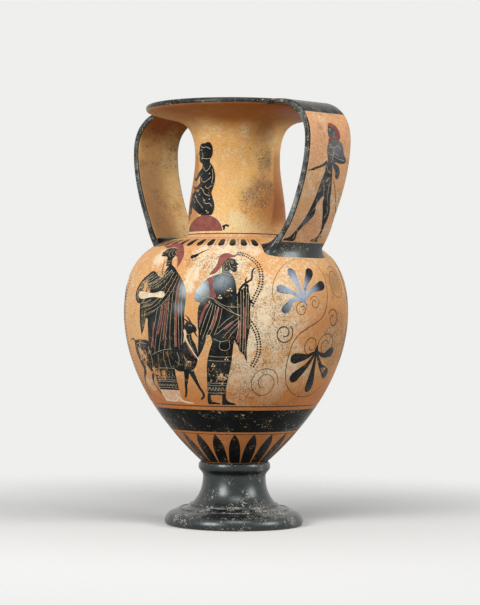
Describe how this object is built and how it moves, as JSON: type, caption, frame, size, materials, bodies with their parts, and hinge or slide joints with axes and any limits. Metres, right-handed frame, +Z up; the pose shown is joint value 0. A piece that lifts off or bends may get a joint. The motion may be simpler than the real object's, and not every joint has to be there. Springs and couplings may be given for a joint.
{
  "type": "black-figure neck-amphora",
  "caption": "Black-figure neck-amphora: egg-shaped body on a flared foot, waisted neck with a wide flaring mouth, and broad flat strap handles from the lip to the shoulder.",
  "frame": {"origin": "centre of the foot's resting ring, on the surface that the pot stands on", "axes": "+Z up along the pot's axis, handles at +X and -X"},
  "size_m": [0.1968, 0.1666, 0.31],
  "materials": {
    "fired_clay": "matt to satin fired clay, painted and worn",
    "black_slip": "semi-gloss black slip over fired clay"
  },
  "bodies": {
    "root": {"foot": "black_slip", "foot_collar": "black_slip", "body": "fired_clay", "neck_ring": "fired_clay", "neck_and_mouth": "fired_clay", "handle_right": "fired_clay", "handle_root_right": "black_slip", "handle_left": "fired_clay", "handle_root_left": "black_slip"}
  },
  "joints": []
}
